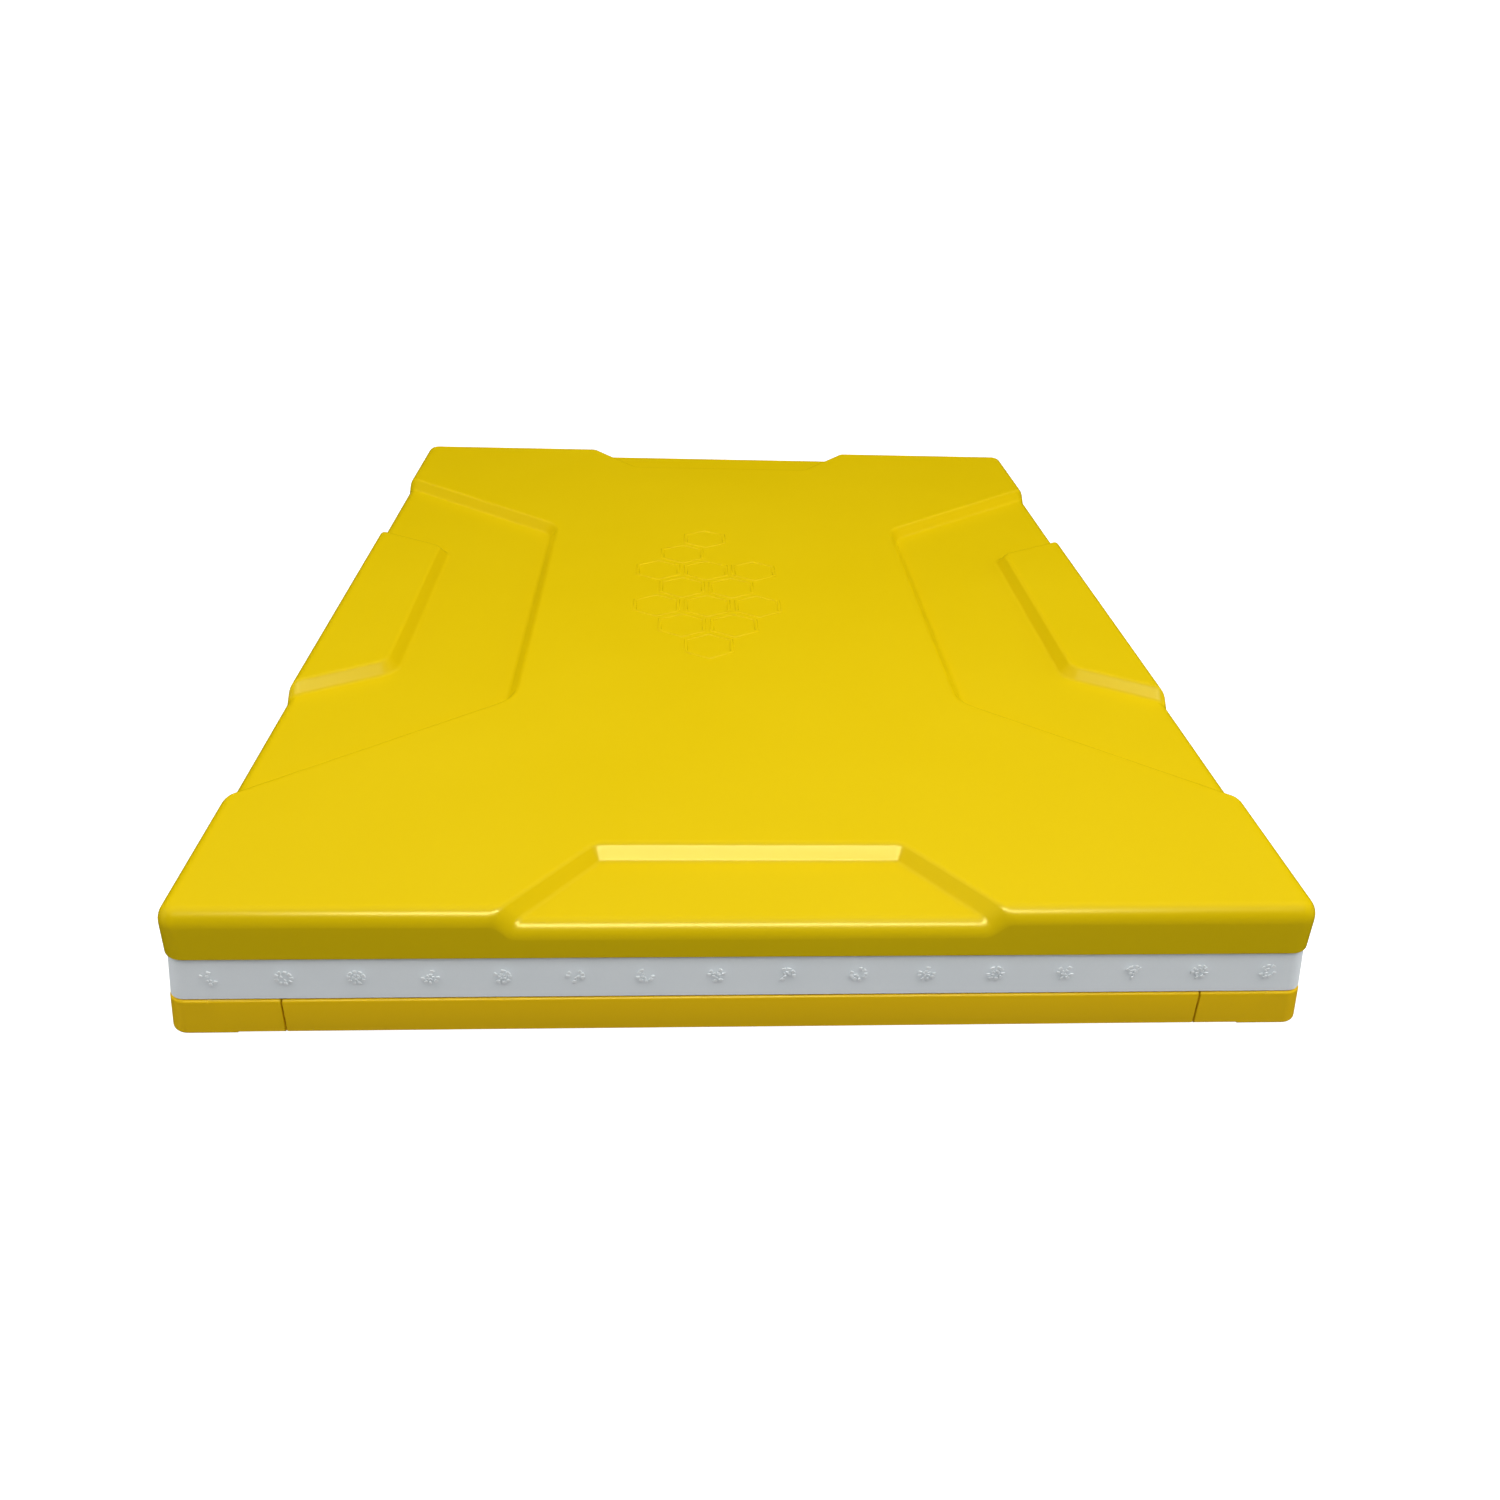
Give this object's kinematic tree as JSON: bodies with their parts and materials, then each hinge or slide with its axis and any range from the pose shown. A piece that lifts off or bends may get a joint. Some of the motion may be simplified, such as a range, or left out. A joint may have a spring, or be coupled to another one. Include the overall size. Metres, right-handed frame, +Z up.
{
  "type": "insulated beehive roof",
  "caption": "Flat insulated beehive roof: moulded cover with strap recesses over a foam block, on a framed base with a ceiling board.",
  "frame": {"origin": "middle of the footprint, on the plane that the roof's underside stands on", "axes": "+Z up out of the cover, +Y along the longer side towards the back, +X to the right"},
  "size_m": [0.5014, 0.6194, 0.063],
  "materials": {
    "cover_plastic": "satin",
    "frame_plastic": "satin",
    "foam": "matte",
    "board_plastic": "satin",
    "screw_steel": "satin"
  },
  "bodies": {
    "frame": {"front_rail": "frame_plastic", "back_rail": "frame_plastic", "left_rail": "frame_plastic", "right_rail": "frame_plastic", "front_left_corner": "frame_plastic", "front_right_corner": "frame_plastic", "back_left_corner": "frame_plastic", "back_right_corner": "frame_plastic", "front_rail_left_screw": "screw_steel", "front_rail_right_screw": "screw_steel", "back_rail_left_screw": "screw_steel", "back_rail_right_screw": "screw_steel", "left_rail_front_screw": "screw_steel", "left_rail_back_screw": "screw_steel", "right_rail_front_screw": "screw_steel", "right_rail_back_screw": "screw_steel"},
    "board": {"ceiling_board": "board_plastic"},
    "insulation": {"insulation_block": "foam"},
    "cover": {"cover_shell": "cover_plastic"}
  },
  "joints": [
    {"name": "board_lift", "type": "slide", "parent": "frame", "child": "board", "axis": [0, 0, 1], "range_m": [0, 0.06]},
    {"name": "insulation_lift", "type": "slide", "parent": "board", "child": "insulation", "axis": [0, 0, 1], "range_m": [0, 0.09]},
    {"name": "cover_lift", "type": "slide", "parent": "insulation", "child": "cover", "axis": [0, 0, 1], "range_m": [0, 0.12]}
  ]
}
